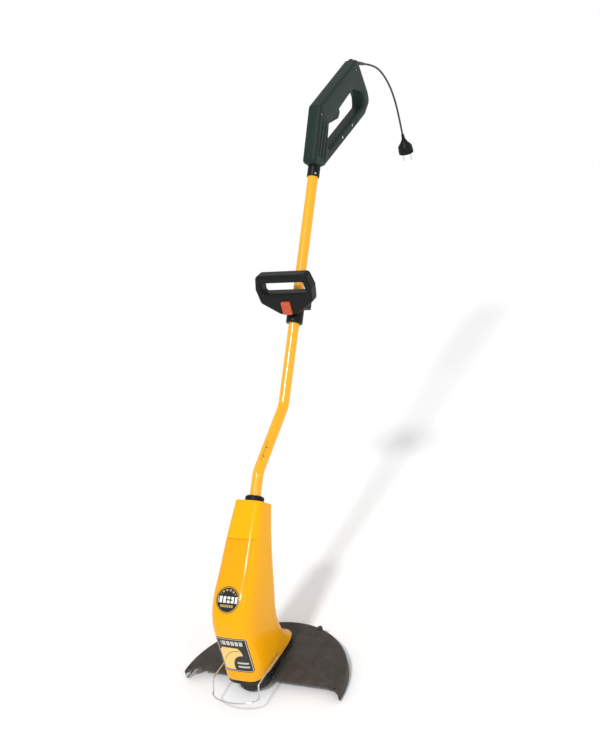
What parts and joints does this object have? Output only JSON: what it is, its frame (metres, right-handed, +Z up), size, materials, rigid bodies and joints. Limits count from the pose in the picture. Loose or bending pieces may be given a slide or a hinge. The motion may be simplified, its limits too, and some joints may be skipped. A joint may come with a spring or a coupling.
{
  "type": "string trimmer",
  "caption": "Corded string trimmer: motor head with line spool and half-round guard, bent tube shaft, sliding loop handle and D-shaped rear handle with trigger.",
  "frame": {"origin": "the centre of the bump cap's flat bottom, on the line head's axis, which is the lowest point", "axes": "+Z up along the line head's axis, with the cutting plane level; +Y from the guard's open front towards the user; +X to the user's left"},
  "size_m": [0.3398, 1.25, 0.9364],
  "materials": {
    "yellow_paint": "gloss powder coat",
    "yellow_plastic": "gloss moulding",
    "grip_plastic": "fine grained",
    "black_plastic": "satin",
    "guard_plastic": "satin",
    "orange_plastic": "satin",
    "cord_rubber": "dull",
    "wire_steel": "bright",
    "steel": "satin",
    "laminations": "varnished",
    "copper": "enamelled",
    "carbon": "dull",
    "nylon_line": "satin"
  },
  "bodies": {
    "frame": {"base_plate": "black_plastic", "brush_left": "carbon", "brush_right": "carbon", "cord": "cord_rubber", "cord_gland": "cord_rubber", "cutter_blade": "steel", "cutter_screw": "steel", "field_coil_lower": "copper", "field_coil_upper": "copper", "guard": "guard_plastic", "guard_screw_left": "steel", "guard_screw_right": "steel", "handle_left": "grip_plastic", "handle_right": "grip_plastic", "handle_screw_1": "steel", "handle_screw_2": "steel", "handle_screw_3": "steel", "handle_screw_4": "steel", "handle_sleeve": "black_plastic", "housing_front": "yellow_plastic", "housing_rear": "yellow_plastic", "lower_bearing": "steel", "motor_frame": "black_plastic", "motor_stator": "laminations", "plug": "black_plastic", "plug_pin_left": "steel", "plug_pin_right": "steel", "power_lead": "cord_rubber", "shaft_tube": "yellow_paint", "switch": "black_plastic", "terminal_block": "black_plastic", "trigger_pin": "steel", "tube_collar": "black_plastic", "upper_bearing": "steel"},
    "trigger": {"trigger": "grip_plastic", "trigger_spring": "steel"},
    "aux_handle": {"aux_handle": "black_plastic", "aux_clamp": "black_plastic", "aux_screw_left": "steel", "aux_screw_right": "steel", "lock_spring": "steel"},
    "lock_button": {"lock_button": "orange_plastic"},
    "line_head": {"motor_shaft": "steel", "armature": "laminations", "commutator": "copper", "cooling_fan": "black_plastic", "head_cup": "black_plastic", "head_lid": "black_plastic", "line_eyelet": "steel", "cutting_line": "nylon_line", "bump_spring": "steel"},
    "spool": {"bump_cap": "black_plastic", "spool": "black_plastic", "wound_line": "nylon_line"},
    "wire_bow": {"wire_bow": "wire_steel"}
  },
  "joints": [
    {"name": "trigger_pull", "type": "hinge", "parent": "frame", "child": "trigger", "pos_m": [0, 0.77538, 0.86176], "axis": [1, 0, 0], "range_deg": [0, 8], "stiffness_Nm_per_rad": 2, "springref_deg": -4.58},
    {"name": "aux_slide", "type": "slide", "parent": "frame", "child": "aux_handle", "axis": [0, 0.6833, 0.7302], "range_m": [-0.1, 0.15]},
    {"name": "lock_press", "type": "slide", "parent": "aux_handle", "child": "lock_button", "axis": [0, 1, 0], "range_m": [0, 0.0035], "stiffness_N_per_m": 800, "springref_m": -0.002, "deforming": ["lock_spring"]},
    {"name": "head_spin", "type": "hinge", "parent": "frame", "child": "line_head", "pos_m": [0, 0, 0.03], "axis": [0, 0, 1], "continuous": true},
    {"name": "bump_feed", "type": "slide", "parent": "line_head", "child": "spool", "axis": [0, 0, 1], "range_m": [0, 0.0035], "stiffness_N_per_m": 1200, "springref_m": -0.004, "deforming": ["bump_spring"]},
    {"name": "bow_fold", "type": "hinge", "parent": "frame", "child": "wire_bow", "pos_m": [0, 0.025, 0.055], "axis": [-1, 0, 0], "range_deg": [0, 50]}
  ]
}
